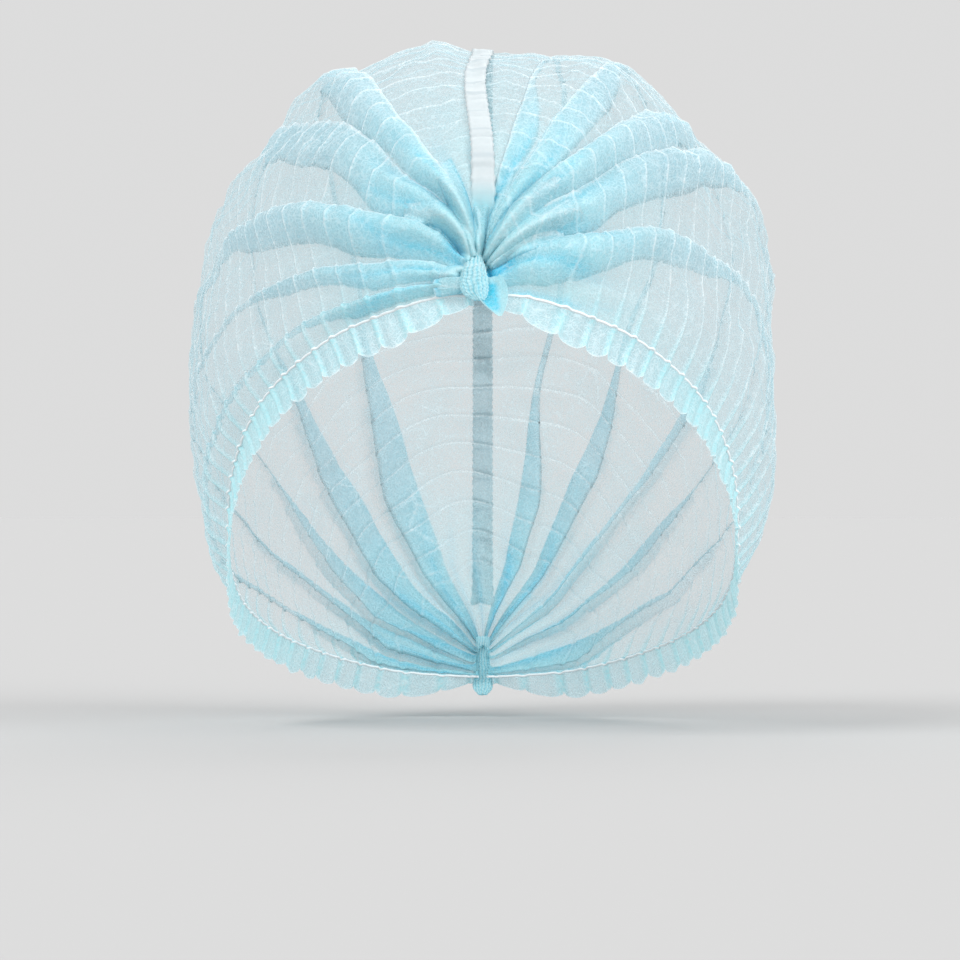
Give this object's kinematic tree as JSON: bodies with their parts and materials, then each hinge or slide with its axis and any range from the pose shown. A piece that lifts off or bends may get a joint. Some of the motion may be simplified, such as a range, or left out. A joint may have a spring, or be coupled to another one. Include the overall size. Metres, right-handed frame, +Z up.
{
  "type": "disposable pleated hairnet",
  "caption": "Disposable head cover of thin pleated nonwoven with an elasticated, ruffled rim and a white strip over the crown, in its worn shape.",
  "frame": {"origin": "middle of the head opening, halfway between the front and the back weld", "axes": "+Z up as worn, the face looks towards -Y, and the wearer's left is +X"},
  "size_m": [0.1921, 0.2244, 0.2163],
  "materials": {
    "nonwoven": "thin translucent spunbond, light blue",
    "fused_nonwoven": "layers welded together, deeper blue",
    "elastic": "white, matte",
    "white_strip": "white, slightly glossy"
  },
  "bodies": {
    "root": {"veil": "nonwoven", "ruffle_left": "nonwoven", "ruffle_right": "nonwoven", "elastic_left": "elastic", "elastic_right": "elastic", "crown_strip": "white_strip", "front_weld": "fused_nonwoven", "back_weld": "fused_nonwoven"}
  },
  "joints": []
}
